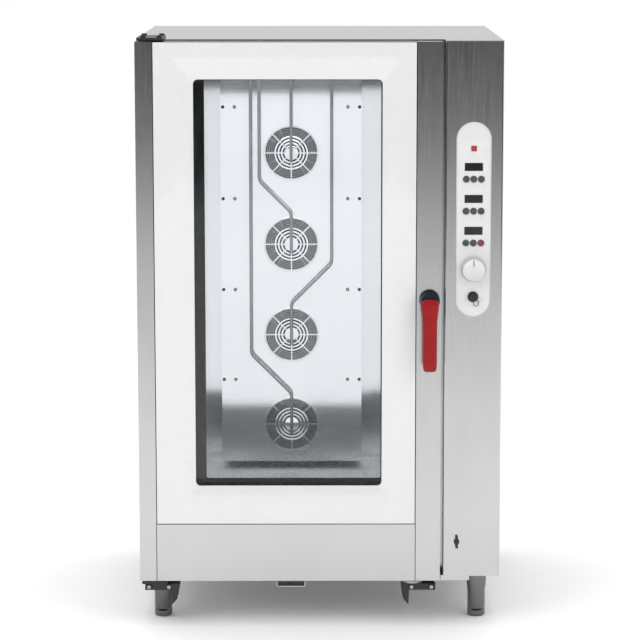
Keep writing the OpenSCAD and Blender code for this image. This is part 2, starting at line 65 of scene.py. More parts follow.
class Shader:
    """A Principled material with the few procedural layers that the oven's surfaces need."""

    def __init__(self, name, **sockets):
        self.mat = bpy.data.materials.new(name)
        self.mat.use_nodes = True
        self.tree = self.mat.node_tree
        self.bsdf = self.tree.nodes["Principled BSDF"]
        for key, value in sockets.items():
            self.bsdf.inputs[key.replace("_", " ")].default_value = value
        self.coord = self.tree.nodes.new("ShaderNodeTexCoord")

    def noise(self, scale, stretch=(1, 1, 1), detail=4.0, roughness=0.55):
        mapping = self.tree.nodes.new("ShaderNodeMapping")
        mapping.inputs["Scale"].default_value = stretch
        noise = self.tree.nodes.new("ShaderNodeTexNoise")
        noise.inputs["Scale"].default_value = scale
        noise.inputs["Detail"].default_value = detail
        noise.inputs["Roughness"].default_value = roughness
        self.tree.links.new(self.coord.outputs["Object"], mapping.inputs["Vector"])
        self.tree.links.new(mapping.outputs["Vector"], noise.inputs["Vector"])
        return noise.outputs["Fac"]

    def colour(self, source, dark, light, low=NOISE_LOW, high=NOISE_HIGH):
        ramp = self.tree.nodes.new("ShaderNodeValToRGB")
        ramp.color_ramp.elements[0].position = low
        ramp.color_ramp.elements[1].position = high
        ramp.color_ramp.elements[0].color = (*dark, 1)
        ramp.color_ramp.elements[1].color = (*light, 1)
        self.tree.links.new(source, ramp.inputs["Fac"])
        self.tree.links.new(ramp.outputs["Color"], self.bsdf.inputs["Base Color"])

    def rough(self, source, low, high):
        span = self.tree.nodes.new("ShaderNodeMapRange")
        span.inputs["From Min"].default_value = NOISE_LOW
        span.inputs["From Max"].default_value = NOISE_HIGH
        span.inputs["To Min"].default_value = low
        span.inputs["To Max"].default_value = high
        self.tree.links.new(source, span.inputs["Value"])
        self.tree.links.new(span.outputs["Result"], self.bsdf.inputs["Roughness"])

    def bump(self, source, strength, distance):
        bump = self.tree.nodes.new("ShaderNodeBump")
        bump.inputs["Strength"].default_value = strength
        bump.inputs["Distance"].default_value = distance
        self.tree.links.new(source, bump.inputs["Height"])
        self.tree.links.new(bump.outputs["Normal"], self.bsdf.inputs["Normal"])


def grey(value, tint=0.0):
    return (value - tint, value - tint, value + tint)


def brushed(name, dark, light, low, high, stretch, grain=90.0, depth=0.00004, tint=0.004,
            metallic=1.0):
    """Steel with long fine brush lines and a faint larger unevenness."""
    s = Shader(name, Metallic=metallic)
    lines = s.noise(grain, stretch, 6.0)
    s.colour(s.noise(3.0, (1, 1, 1), 3.0), grey(dark, tint), grey(light, tint))
    s.rough(lines, low, high)
    s.bump(lines, BRUSH_BUMP, depth)
    return s.mat


def plastic(name, dark, light, low, high, grain=900.0, depth=0.00006, strength=0.3, **sockets):
    s = Shader(name, **sockets)
    s.colour(s.noise(40.0), dark, light)
    fine = s.noise(grain)
    s.rough(fine, low, high)
    s.bump(fine, strength, depth)
    return s.mat


def clear_glass(name):
    """Thin glass that light passes straight through, with a reflection that grows at a glancing angle."""
    mat = bpy.data.materials.new(name)
    mat.use_nodes = True
    tree = mat.node_tree
    for node in list(tree.nodes):
        if node.type == "BSDF_PRINCIPLED":
            tree.nodes.remove(node)
    out = tree.nodes["Material Output"]
    clear = tree.nodes.new("ShaderNodeBsdfTransparent")
    gloss = tree.nodes.new("ShaderNodeBsdfGlossy")
    mix = tree.nodes.new("ShaderNodeMixShader")
    fresnel = tree.nodes.new("ShaderNodeFresnel")
    coord = tree.nodes.new("ShaderNodeTexCoord")
    smear = tree.nodes.new("ShaderNodeTexNoise")
    span = tree.nodes.new("ShaderNodeMapRange")
    clear.inputs["Color"].default_value = (0.96, 0.97, 0.975, 1)
    fresnel.inputs["IOR"].default_value = 1.3
    smear.inputs["Scale"].default_value = 6.0
    span.inputs["To Min"].default_value = 0.02
    span.inputs["To Max"].default_value = 0.07
    tree.links.new(coord.outputs["Object"], smear.inputs["Vector"])
    tree.links.new(smear.outputs["Fac"], span.inputs["Value"])
    tree.links.new(span.outputs["Result"], gloss.inputs["Roughness"])
    tree.links.new(fresnel.outputs["Fac"], mix.inputs["Fac"])
    tree.links.new(clear.outputs["BSDF"], mix.inputs[1])
    tree.links.new(gloss.outputs["BSDF"], mix.inputs[2])
    tree.links.new(mix.outputs["Shader"], out.inputs["Surface"])
    return mat


def glowing(name, dark, light, emission, strength):
    mat = plastic(name, dark, light, 0.2, 0.35)
    bsdf = mat.node_tree.nodes["Principled BSDF"]
    bsdf.inputs["Emission Color"].default_value = (*emission, 1)
    bsdf.inputs["Emission Strength"].default_value = strength
    return mat


ACROSS = (0.02, 1, 1)      # brush lines that run along X
UPRIGHT = (1, 1, 0.02)     # brush lines that run along Z

MAT = {
    "brushed_steel": brushed("brushed_steel", 0.53, 0.56, 0.18, 0.24, UPRIGHT, 420.0, 0.000005),
    "foot_steel": brushed("foot_steel", 0.13, 0.20, 0.14, 0.24, (1, 1, 1), 120.0),
    "liner_steel": brushed("liner_steel", 0.86, 0.90, 0.09, 0.14, ACROSS, 420.0, 0.000004,
                           0.012, 0.85),
    "pipe_steel": brushed("pipe_steel", 0.30, 0.38, 0.22, 0.32, UPRIGHT, 200.0, 0.00001),
    # painted shade: near-black steel that the fan wheels take instead of their liner steel, standing for the shade
    # behind the grilles; the baffle screws take it too
    "painted_shade_wheel_steel": brushed("painted_shade_wheel_steel", 0.035, 0.07, 0.3, 0.45, (1, 1, 1), 120.0),
    "heater_steel": brushed("heater_steel", 0.20, 0.26, 0.35, 0.5, (1, 1, 1), 60.0),
    "brass_fitting": plastic("brass_fitting", (0.55, 0.38, 0.13), (0.68, 0.48, 0.18), 0.25, 0.4,
                             Metallic=1.0),
    "black_metal": plastic("black_metal", grey(0.012), grey(0.022), 0.35, 0.5),
    "seal_rubber": plastic("seal_rubber", grey(0.010), grey(0.018), 0.6, 0.75),
    "wool": plastic("wool", (0.45, 0.38, 0.20), (0.66, 0.58, 0.35), 0.9, 1.0, 220.0, 0.002, 0.8),
    "motor_paint": plastic("motor_paint", grey(0.10), grey(0.16), 0.4, 0.55),
    "lamp_glass": glowing("lamp_glass", (0.85, 0.84, 0.80), (0.95, 0.94, 0.90),
                          (1.0, 0.98, 0.95), 6.0),
    "gland_plastic": plastic("gland_plastic", grey(0.03), grey(0.05), 0.45, 0.6),
    "board": plastic("board", (0.01, 0.10, 0.03), (0.02, 0.16, 0.06), 0.35, 0.5, 300.0),
    "contactor": plastic("contactor", grey(0.12), grey(0.18), 0.45, 0.6),
    "handle_dark": plastic("handle_dark", (0.010, 0.012, 0.020), (0.018, 0.021, 0.032), 0.22, 0.34),
    "handle_red": plastic("handle_red", (0.24, 0.001, 0.002), (0.30, 0.002, 0.004), 0.34, 0.44,
                          Specular_IOR_Level=0.3),
    "panel_white": plastic("panel_white", grey(0.61), grey(0.64), 0.12, 0.2, 500.0, 0.00001),
    "display_black": plastic("display_black", (0.008, 0.008, 0.012), (0.014, 0.013, 0.020),
                             0.08, 0.16),
    "lamp_red": glowing("lamp_red", (0.30, 0.02, 0.03), (0.40, 0.03, 0.04), (0.8, 0.02, 0.02), 0.03),
    "button_grey": plastic("button_grey", (0.045, 0.045, 0.05), (0.07, 0.07, 0.075), 0.35, 0.5),
    "button_maroon": plastic("button_maroon", (0.16, 0.03, 0.06), (0.24, 0.045, 0.085), 0.35, 0.5),
    "knob_metal": plastic("knob_metal", grey(0.66), grey(0.74), 0.3, 0.4, 500.0, Metallic=0.35),
    "cap_rubber": plastic("cap_rubber", grey(0.012), grey(0.02), 0.5, 0.65),
    "pane_glass": clear_glass("pane_glass"),
    "glass_print": plastic("glass_print", grey(0.64), grey(0.66), 0.06, 0.1, 8.0, 0.00002, 0.05,
                           Coat_Weight=0.6),
    "black_print": plastic("black_print", grey(0.006), grey(0.010), 0.1, 0.18),
    "roller_grey": plastic("roller_grey", grey(0.42), grey(0.50), 0.4, 0.55),
}

# ---- mesh helpers ----


def finish_piece(obj, material, body, replaces=()):
    """Gives a made piece its finish, its body and the CAD nodes that it stands for."""
    obj.data.materials.clear()
    obj.data.materials.append(MAT[material])
    obj.data.shade_smooth()
    obj.data.set_sharp_from_angle(angle=SMOOTH_ANGLE)
    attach(obj, body)
    if replaces:
        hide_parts(*replaces)
    return obj


def from_bmesh(name, bm):
    """Turns a bmesh into an object, with its doubled points joined and its normals outwards."""
    bmesh.ops.remove_doubles(bm, verts=bm.verts, dist=JOIN_DIST)
    bmesh.ops.recalc_face_normals(bm, faces=bm.faces)
    mesh = bpy.data.meshes.new(name)
    bm.to_mesh(mesh)
    bm.free()
    obj = bpy.data.objects.new(name, mesh)
    bpy.context.scene.collection.objects.link(obj)
    return obj


def frame_of(axis):
    """The axis as a unit vector, and two directions square to it."""
    axis = Vector(axis).normalized()
    side = axis.orthogonal().normalized()
    return axis, side, axis.cross(side)


def add_lathe(bm, profile, centre, axis, turns=64):
    """Turns a profile of (radius, distance along the axis) pairs round a line."""
    axis, side, up = frame_of(axis)
    rings = []
    for radius, along in profile:
        base = Vector(centre) + axis * along
        if radius == 0:
            rings.append([bm.verts.new(base)])
            continue
        ring = []
        for k in range(turns):
            a = 2 * math.pi * k / turns
            ring.append(bm.verts.new(base + (side * math.cos(a) + up * math.sin(a)) * radius))
        rings.append(ring)
    for low, high in zip(rings, rings[1:]):
        for k in range(turns):
            n = (k + 1) % turns
            quad = [low[k % len(low)], low[n % len(low)], high[n % len(high)], high[k % len(high)]]
            corners = list(dict.fromkeys(quad))
            if len(corners) > 2:
                bm.faces.new(corners)


def lathe(name, profile, centre, axis, turns=64):
    bm = bmesh.new()
    add_lathe(bm, profile, centre, axis, turns)
    return from_bmesh(name, bm)


def lathes(name, profile, centres, axis, turns=24):
    """One piece of many equal turned shapes, such as a row of screws."""
    bm = bmesh.new()
    for centre in centres:
        add_lathe(bm, profile, centre, axis, turns)
    return from_bmesh(name, bm)


def rod(radius, length):
    return [(0, 0), (radius, 0), (radius, length), (0, length)]


def screw_head(radius, height):
    """A domed head with a round recess."""
    return [(0, height * 0.55), (radius * 0.3, height * 0.55), (radius * 0.36, height),
            (radius * 0.7, height * 0.88), (radius * 0.93, height * 0.5), (radius, 0), (0, 0)]


def corner_loop(x0, z0, x1, z1, r, steps=8):
    """The outline of a rectangle with round corners, anticlockwise."""
    points = []
    for cx, cz, start in ((x1 - r, z1 - r, 0), (x0 + r, z1 - r, 90),
                          (x0 + r, z0 + r, 180), (x1 - r, z0 + r, 270)):
        for k in range(steps + 1):
            a = math.radians(start + 90 * k / steps)
            points.append((cx + r * math.cos(a), cz + r * math.sin(a)))
    return points


def plate(name, loops, y0, y1, edge=0.0006):
    """A flat plate in the XZ plane with soft edges. The first loop is its outline, the rest are holes."""
    curve = bpy.data.curves.new(name, "CURVE")
    curve.dimensions = "2D"
    curve.fill_mode = "BOTH"
    curve.extrude = (y1 - y0) / 2 - edge
    curve.bevel_depth = edge
    curve.bevel_resolution = 2
    curve.offset = -edge
    for loop in loops:
        spline = curve.splines.new("POLY")
        spline.points.add(len(loop) - 1)
        spline.use_cyclic_u = True
        for point, (x, z) in zip(spline.points, loop):
            point.co = (x, z, 0, 1)
    source = bpy.data.objects.new(name + "_source", curve)
    bpy.context.scene.collection.objects.link(source)
    bpy.context.view_layer.update()
    graph = bpy.context.evaluated_depsgraph_get()
    mesh = bpy.data.meshes.new_from_object(source.evaluated_get(graph))
    bpy.data.objects.remove(source)
    for v in mesh.vertices:
        x, z, along = v.co
        v.co = (x, (y0 + y1) / 2 - along, z)
    bm = bmesh.new()
    bm.from_mesh(mesh)
    bpy.data.meshes.remove(mesh)
    return from_bmesh(name, bm)


def round_path(points, radius, steps=8):
    """The points with each corner turned into an arc-like bend."""
    points = [Vector(p) for p in points]
    path = [points[0]]
    for before, corner, after in zip(points, points[1:], points[2:]):
        reach = min(radius, (before - corner).length / 2, (after - corner).length / 2)
        a = corner + (before - corner).normalized() * reach
        b = corner + (after - corner).normalized() * reach
        for k in range(steps + 1):
            t = k / steps
            path.append(a * (1 - t) ** 2 + corner * 2 * t * (1 - t) + b * t * t)
    path.append(points[-1])
    return path


def add_tube(bm, path, radius, sides=16, closed=False):
    """A round bar along a path, either closed on itself or with flat ends."""
    path = [Vector(p) for p in path]
    count = len(path)
    rings, up = [], None
    for i, point in enumerate(path):
        ahead = path[(i + 1) % count] if closed or i + 1 < count else path[i]
        behind = path[i - 1] if closed or i > 0 else path[i]
        along = (ahead - behind).normalized()
        up = along.orthogonal() if up is None else up - along * up.dot(along)
        up.normalize()
        side = along.cross(up)
        rings.append([bm.verts.new(point + (up * math.cos(a) + side * math.sin(a)) * radius)
                      for a in (2 * math.pi * k / sides for k in range(sides))])
    pairs = list(zip(rings, rings[1:])) + ([(rings[-1], rings[0])] if closed else [])
    for low, high in pairs:
        for k in range(sides):
            n = (k + 1) % sides
            bm.faces.new((low[k], low[n], high[n], high[k]))
    if not closed:
        bm.faces.new(rings[0])
        bm.faces.new(rings[-1])


def loft(name, sections, steps=10):
    """Skin over upright sections, each (height, x, width, y of the front, y of the back, corner radius)."""
    bm = bmesh.new()
    rings = []
    for z, x, width, front, back, r in sections:
        loop = corner_loop(x - width / 2, front, x + width / 2, back, r, steps)
        rings.append([bm.verts.new((px, py, z)) for px, py in loop])
    for low, high in zip(rings, rings[1:]):
        for k in range(len(low)):
            n = (k + 1) % len(low)
            bm.faces.new((low[k], low[n], high[n], high[k]))
    bm.faces.new(rings[0])
    bm.faces.new(rings[-1])
    return from_bmesh(name, bm)


def inset(outline, *margins):
    """An outline drawn in by one margin all round, or by its left, low, right and top margins."""
    left, low, right, top = margins if len(margins) == 4 else margins * 4
    return outline[0] + left, outline[1] + low, outline[2] - right, outline[3] - top


def front_outline(node):
    """A node's left, bottom, right and top, seen from the front."""
    low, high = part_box(node)
    return low.x, low.z, high.x, high.z


def middle(node):
    low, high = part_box(node)
    return (low + high) / 2


# ---- the CAD nodes that stay: their finishes and softened sheet edges ----

# Nodes drawn darker than their record's finish: the fan wheels in near-black steel, painted shade behind the
# grilles, and the chamber floor in the darker pipe steel.
DARKER = {f"fan_wheel_{i}": "painted_shade_wheel_steel" for i in FANS}
DARKER["chamber_floor"] = "pipe_steel"
SOFT_EDGES = ("door_stile_hinge", "door_stile_handle", "door_lower_panel", "door_top_rail",
              "column_front", "top_cover", "side_panel_left", "side_panel_right", "back_panel",
              "docking_hooks", "hinge_brackets", "drip_spout", "service_latch", "base_tray")
EDGE_W = 0.0007
SAME_POINT = 0.00001


def finish_cad_nodes():
    for part in frame["record"]["subparts"]:
        node = NODES[part["node"]]
        if not node.material_slots:
            node.data.materials.append(None)
        for material_slot in node.material_slots:
            material_slot.link = "OBJECT"
            material_slot.material = MAT[DARKER.get(part["node"], part["material_slot"])]
    for name in SOFT_EDGES:
        weld = NODES[name].modifiers.new("weld", "WELD")
        weld.merge_threshold = SAME_POINT
        bevel = NODES[name].modifiers.new("bevel", "BEVEL")
        bevel.width = EDGE_W
        bevel.segments = 2
        bevel.limit_method = "ANGLE"
        bevel.angle_limit = math.radians(40)


# ---- door ----

SEAM_W = 0.0022                                  # the dark joint round the outer glass
GASKET_LAP = 0.0002
STRIP_HALF_W, STRIP_PROUD = 0.0012, 0.0004
WINDOW_MARGINS = (0.128, 0.1275, 0.109, 0.118)   # width of the white border on its four sides
WINDOW_CORNER = 0.015
PANE_GAP = 0.0003
PRINT_MARGINS = (0.032, 0.014, 0.003, 0.006)     # how far the inner print reaches in
PRINT_CORNER = 0.006


def outer_door_glass(window):
    """Gasket, dark joints beside the lower panel, white border and clear window."""
    low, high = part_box("outer_glass")
    outer = front_outline("outer_glass")
    gasket = plate("glass_gasket", [corner_loop(*outer, 0.001),
                                    corner_loop(*inset(outer, SEAM_W + GASKET_LAP), 0.001)],
                   low.y + 0.0008, low.y + 0.005, 0.0003)
    finish_piece(gasket, "black_print", "door", ["outer_glass"])
    left, bottom, right, top = front_outline("door_lower_panel")
    for name, x in (("seam_left", left), ("seam_right", right)):
        strip = plate(name, [corner_loop(x - STRIP_HALF_W, bottom + 0.001, x + STRIP_HALF_W, top,
                                         0.0005)],
                      FRONT_Y - STRIP_PROUD, FRONT_Y + STRIP_PROUD, 0.0001)
        finish_piece(strip, "black_print", "door")
    border = plate("glass_border", [corner_loop(*inset(outer, SEAM_W), 0.002),
                                    corner_loop(*window, WINDOW_CORNER)], low.y, high.y)
    finish_piece(border, "glass_print", "door", ["outer_glass"])
    pane = plate("window_pane", [corner_loop(*inset(window, PANE_GAP), WINDOW_CORNER)],
                 low.y + 0.0005, high.y - 0.0005)
    finish_piece(pane, "pane_glass", "door", ["outer_glass"])


def inner_door_glass(window):
    """The second pane and the dark print on its front."""
    low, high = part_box("inner_glass")
    edge = corner_loop(*front_outline("inner_glass"), 0.004)
    finish_piece(plate("inner_pane", [edge], low.y, high.y), "pane_glass", "door",
                 ["inner_glass"])
    band = plate("inner_print", [edge, corner_loop(*inset(window, *PRINT_MARGINS), PRINT_CORNER)],
                 low.y - 0.0007, low.y - 0.0002, 0.0001)
    finish_piece(band, "black_print", "door")


def door_seal():
    """A rubber bead with a thin lip behind it."""
    low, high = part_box("door_seal")
    bead_r, lip_r, corner = 0.0062, 0.0024, 0.020
    bm = bmesh.new()
    for margin, y, r in ((0.0070, low.y + bead_r + 0.0004, bead_r), (0.0115, high.y - 0.003, lip_r)):
        loop = corner_loop(*inset(front_outline("door_seal"), margin), corner, 10)
        add_tube(bm, [(x, y, z) for x, z in loop], r, 14, closed=True)
    finish_piece(from_bmesh("seal_bead", bm), "seal_rubber", "root", ["door_seal"])


# share of the lever's length from its top, width, share of its depth
LEVER_SHAPE = ((0.0, 0.024, 0.45), (0.008, 0.036, 0.7), (0.025, 0.047, 0.9), (0.055, 0.054, 1.0),
               (0.12, 0.055, 1.0), (0.20, 0.050, 0.96), (0.30, 0.0455, 0.92), (0.55, 0.0445, 0.9),
               (0.80, 0.0440, 0.88), (0.93, 0.0435, 0.86), (0.97, 0.0415, 0.82),
               (0.992, 0.036, 0.7), (1.0, 0.029, 0.55))
LEVER_ROUND = 0.42                               # corner radius, as a share of the thinner way
# height from the boss's middle, width
NECK_SHAPE = ((0.004, 0.058), (-0.030, 0.056), (-0.052, 0.046), (-0.062, 0.032))
NECK_CORNER = 0.010
SPINDLE_R = 0.011


def handle():
    """Dark boss on a spindle, red lever, and the dark neck between them."""
    low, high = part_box("handle_boss")
    boss = middle("handle_boss")
    at = (boss.x, FRONT_Y, boss.z)
    reach, r = FRONT_Y - low.y, (high.x - low.x) / 2
    dome = lathe("handle_dome", [
        (r * 0.96, 0.0005), (r, 0.004), (r, reach * 0.45), (r * 0.95, reach * 0.7),
        (r * 0.82, reach * 0.88), (r * 0.55, reach * 0.98), (0, reach)], at, FORWARD, 96)
    finish_piece(dome, "handle_dark", "handle", ["handle_boss"])
    spindle = lathe("handle_spindle", rod(SPINDLE_R, high.y - FRONT_Y), at, BACKWARD, 48)
    finish_piece(spindle, "heater_steel", "handle")

    low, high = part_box("handle_lever")
    depth = high.y - low.y
    sections = []
    for share, width, thick in LEVER_SHAPE:
        slack = depth * (1 - thick) / 2
        front, back = low.y + slack, high.y - slack
        sections.append((high.z - share * (high.z - low.z), boss.x, width, front, back,
                         min(width, back - front) * LEVER_ROUND))
    finish_piece(loft("lever_red", sections), "handle_red", "handle",
                 ["handle_lever"])
    neck = loft("lever_neck", [(boss.z + z, boss.x, width, high.y - 0.001, FRONT_Y - 0.006,
                                NECK_CORNER) for z, width in NECK_SHAPE])
    finish_piece(neck, "handle_dark", "handle")


# ---- control column ----

DISPLAY_ROWS, DISPLAY_H, DISPLAY_CORNER = 3, 0.0256, 0.002
BEZEL_W = 0.0016
BUTTON_FACE_R, HOLE_SLACK = 0.0103, 0.0004
KNOB_HOLE_R, SOCKET_HOLE_R = 0.0063, 0.0132
LAMP_CORNER, LENS_GAP = 0.002, 0.0003
RIM_W = 0.0026
BUTTONS = [f"button_{row}_{column}" for row in (1, 2, 3) for column in (1, 2, 3)]


def circle_loop(x, z, r, turns=40):
    return [(x + r * math.cos(2 * math.pi * k / turns), z + r * math.sin(2 * math.pi * k / turns))
            for k in range(turns)]


def display_outlines():
    """The outline of each display, from the top one down."""
    left, bottom, right, top = front_outline("displays")
    pitch = (top - bottom - DISPLAY_H) / (DISPLAY_ROWS - 1)
    return [(left, top - row * pitch - DISPLAY_H, right, top - row * pitch)
            for row in range(DISPLAY_ROWS)]


def panel_holes():
    holes = [corner_loop(*outline, DISPLAY_CORNER) for outline in display_outlines()]
    holes.append(corner_loop(*front_outline("power_lamp"), LAMP_CORNER))
    # a collar on each stem is wider than the button, so the hole takes the face's radius
    for name in BUTTONS:
        at = middle(name)
        holes.append(circle_loop(at.x, at.z, BUTTON_FACE_R + HOLE_SLACK))
    knob = middle("control_knob")
    holes.append(circle_loop(knob.x, knob.z, KNOB_HOLE_R))
    holes.append(circle_loop(middle("control_panel").x, middle("probe_socket").z, SOCKET_HOLE_R))
    return holes


def control_panel():
    """White panel with its grey rim, the displays' bezels and the power lamp's lens."""
    low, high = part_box("control_panel")
    outline = front_outline("control_panel")
    end_r = (high.x - low.x) / 2 - 0.0005
    edge = corner_loop(*outline, end_r, 20)
    finish_piece(plate("panel_face", [edge] + panel_holes(), low.y, high.y, 0.0009),
                 "panel_white", "root", ["control_panel"])
    rim = plate("panel_rim", [edge, corner_loop(*inset(outline, RIM_W), end_r - RIM_W, 20)],
                low.y - 0.0008, low.y + 0.0004, 0.0003)
    finish_piece(rim, "roller_grey", "root")
    for row, display in enumerate(display_outlines(), 1):
        bezel = plate(f"display_bezel_{row}", [corner_loop(*display, DISPLAY_CORNER),
                                               corner_loop(*inset(display, BEZEL_W), 0.0015)],
                      low.y - 0.0002, low.y + 0.0008, 0.0003)
        finish_piece(bezel, "button_grey", "root")
    lamp_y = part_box("power_lamp")[0].y
    lens = plate("lamp_lens", [corner_loop(*inset(front_outline("power_lamp"), LENS_GAP), 0.0025)],
                 lamp_y, lamp_y + 0.004, 0.0009)
    finish_piece(lens, "lamp_red", "root", ["power_lamp"])


def buttons():
    """Nine caps on stems. The lowest right one is maroon and the lowest left one has a ring."""
    r, collar_r, stem_r = BUTTON_FACE_R, BUTTON_FACE_R + 0.0009, 0.003
    for name in BUTTONS:
        low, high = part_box(name)
        at = (low + high) / 2
        tall = high.y - low.y
        profile = [(0, 0), (stem_r, 0), (stem_r, tall - 0.0096), (collar_r, tall - 0.0092),
                   (collar_r, tall - 0.0074), (r, tall - 0.0070), (r, tall - 0.0012),
                   (r * 0.94, tall - 0.0004), (r * 0.8, tall), (r * 0.5, tall - 0.0003),
                   (0, tall - 0.0005)]
        cap = lathe(name + "_cap", profile, (at.x, high.y, at.z), FORWARD, 48)
        finish_piece(cap, "button_maroon" if name == "button_3_3" else "button_grey",
                     name + "_body", [name])
    at, face_y = middle("button_3_1"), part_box("button_3_1")[0].y
    ring = lathe("button_ring", [(0.0078, 0.0002), (0.0092, 0.0002), (0.0092, 0.0), (0.0078, 0.0),
                                 (0.0078, 0.0002)], (at.x, face_y + 0.0004, at.z), FORWARD, 48)
    finish_piece(ring, "roller_grey", "button_3_1_body")


def knob():
    """Grip drawn a darker grey than the face as painted shade on the knob's side, light dished face and a dark
    pointer, on a stem through the panel.
    """
    low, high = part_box("control_knob")
    at = middle("control_knob")
    panel_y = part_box("control_panel")[0].y
    r, reach = (high.x - low.x) / 2, panel_y - low.y
    foot = (at.x, panel_y - 0.0004, at.z)
    grip = lathe("knob_grip", [
        (0, 0), (r * 0.995, 0), (r, 0.001), (r, 0.0038), (r * 0.95, 0.006), (r * 0.90, 0.010),
        (r * 0.87, reach * 0.6), (r * 0.85, reach - 0.0035), (0, reach - 0.0035)],
        foot, FORWARD, 96)
    # painted shade: the grip takes a darker grey than the face, for the shade round the knob's side
    finish_piece(grip, "roller_grey", "knob", ["control_knob"])
    face_r = r * 0.84
    face = lathe("knob_face", [
        (0, reach - 0.0040), (face_r, reach - 0.0040), (face_r, reach - 0.0018),
        (face_r * 0.96, reach - 0.0006), (face_r * 0.86, reach - 0.0011), (0, reach - 0.0020)],
        foot, FORWARD, 96)
    finish_piece(face, "knob_metal", "knob")
    face_y = foot[1] - reach
    pointer = loft("knob_pointer", [(at.z + face_r * share, at.x, 0.0026, face_y + 0.0004,
                                     face_y + 0.0030, 0.0004) for share in (0.35, 0.9)])
    finish_piece(pointer, "black_metal", "knob")
    finish_piece(lathe("knob_stem", rod(0.006, 0.020), foot, BACKWARD, 32), "heater_steel", "knob")


def probe_cap():
    """A ribbed rubber cap with a thin tether."""
    x, z = middle("control_panel").x, middle("probe_socket").z
    r, tall = 0.0145, 0.011
    base_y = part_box("probe_cap")[0].y + tall
    cap = lathe("probe_cap_body", [
        (0, -0.016), (0.0096, -0.016), (0.0096, 0), (r, 0.0002), (r, 0.003), (r * 0.93, 0.0036),
        (r * 0.93, 0.0062), (r, 0.0068), (r * 0.97, 0.0092), (r * 0.8, 0.0108), (0, tall)],
        (x, base_y, z), FORWARD, 64)
    finish_piece(cap, "cap_rubber", "probe_cap_body", ["probe_cap"])
    loop_w, loop_h, turns = 0.0085, 0.0100, 40
    loop = [(x + 0.0095 + loop_w * math.cos(a), base_y - 0.004, z - 0.0195 + loop_h * math.sin(a))
            for a in (2 * math.pi * k / turns for k in range(turns))]
    bm = bmesh.new()
    add_tube(bm, loop, 0.0011, 10, closed=True)
    finish_piece(from_bmesh("cap_tether", bm), "button_grey", "probe_cap_body")


# ---- fans' grilles and the pipes in front of them ----

HUB_R, WIDE_END, SPOKE_W = 0.0245, 0.058, 0.004
WIDE_RINGS, FINE_RINGS, SPOKES = 3, 6, 8
WIDE_SOLID, FINE_SOLID = 0.55, 0.30              # share of each ring's pitch that is metal
PIPE_R, PIPE_TIP, PIPE_BEND, BEND_R = 0.0055, 0.030, 0.112, 0.014
PIPE_SIDES = (-0.138, 0.138, -0.109)             # how far each bent pipe stands from its fan
BOX_FACES = ((0, 1, 3, 2), (4, 6, 7, 5), (0, 4, 5, 1), (2, 3, 7, 6), (0, 2, 6, 4), (1, 5, 7, 3))


def add_ring(bm, centre, r0, r1, y0, y1):
    """A flat ring with rounded edges, its axis along Y."""
    soft = (r1 - r0) * 0.22
    add_lathe(bm, [(r0, 0.0), (r0, (y1 - y0) * 0.7), (r0 + soft, y1 - y0), (r1 - soft, y1 - y0),
                   (r1, (y1 - y0) * 0.7), (r1, 0.0), (r0, 0.0)],
              (centre.x, y1, centre.z), FORWARD, 96)


def add_spoke(bm, centre, angle, r0, r1, y_front, y_back):
    tip = Vector((math.cos(angle), 0, math.sin(angle)))
    half = Vector((-math.sin(angle), 0, math.cos(angle))) * SPOKE_W / 2
    corners = [(centre + tip * r + side * half).xz for r in (r0, r1) for side in (-1, 1)]
    verts = [bm.verts.new((x, y, z)) for y in (y_back, y_front) for x, z in corners]
    for face in BOX_FACES:
        bm.faces.new([verts[v] for v in face])


def grilles():
    """A hub, three wide rings, six fine rings and eight spokes before each fan."""
    low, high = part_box("fan_grilles")
    outer_r = (high.x - low.x) / 2
    edges = [HUB_R + (WIDE_END - HUB_R) * k / WIDE_RINGS for k in range(WIDE_RINGS + 1)]
    edges += [WIDE_END + (outer_r - WIDE_END) * k / FINE_RINGS for k in range(1, FINE_RINGS + 1)]
    for i, at in enumerate(FAN_POINTS, 1):
        bm = bmesh.new()
        add_lathe(bm, [(0, 0), (HUB_R, 0), (HUB_R, 0.0012), (HUB_R * 0.9, 0.0024), (0, 0.0030)],
                  (at.x, high.y, at.z), FORWARD, 64)
        for k, (r0, r1) in enumerate(zip(edges, edges[1:])):
            solid = WIDE_SOLID if k < WIDE_RINGS else FINE_SOLID
            add_ring(bm, at, r1 - (r1 - r0) * solid, r1, low.y, high.y)
        for k in range(SPOKES):
            add_spoke(bm, at, math.radians(360 * k / SPOKES), HUB_R * 0.8, outer_r - 0.001,
                      high.y - 0.0014, high.y - 0.0002)
        finish_piece(from_bmesh(f"grille_{i}", bm), "liner_steel", "root",
                     ["fan_grilles"])


def injectors():
    """A pipe from the ceiling to each fan's hub, all but the top one bent past the fan above."""
    y, ceiling_z = middle("injector_pipes").y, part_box("injector_pipes")[1].z
    for i, at in enumerate(FAN_POINTS):
        path = [(at.x, y, ceiling_z), (at.x, y, at.z - PIPE_TIP)]
        if i < len(PIPE_SIDES):
            side, bend_z = PIPE_SIDES[i], at.z + PIPE_BEND
            path = round_path([(at.x + side, y, ceiling_z), (at.x + side, y, bend_z + abs(side)),
                               (at.x, y, bend_z), path[-1]], BEND_R, 8)
        bm = bmesh.new()
        add_tube(bm, path, PIPE_R, 20)
        finish_piece(from_bmesh(f"injector_{i + 1}", bm), "pipe_steel", "root",
                     ["injector_pipes"])


# ---- feet, fittings and fixings ----

SLEEVE_R, SLEEVE_BORE_R = 0.033, 0.0296
HOOK_HALF, BOLT_DROP = 0.055, 0.022
STUD_REACH, STUD_EDGE = 0.193, 0.008             # from the baffle's middle, from its edge
SCREW_INSET, SCREW_END = 0.018, 0.03


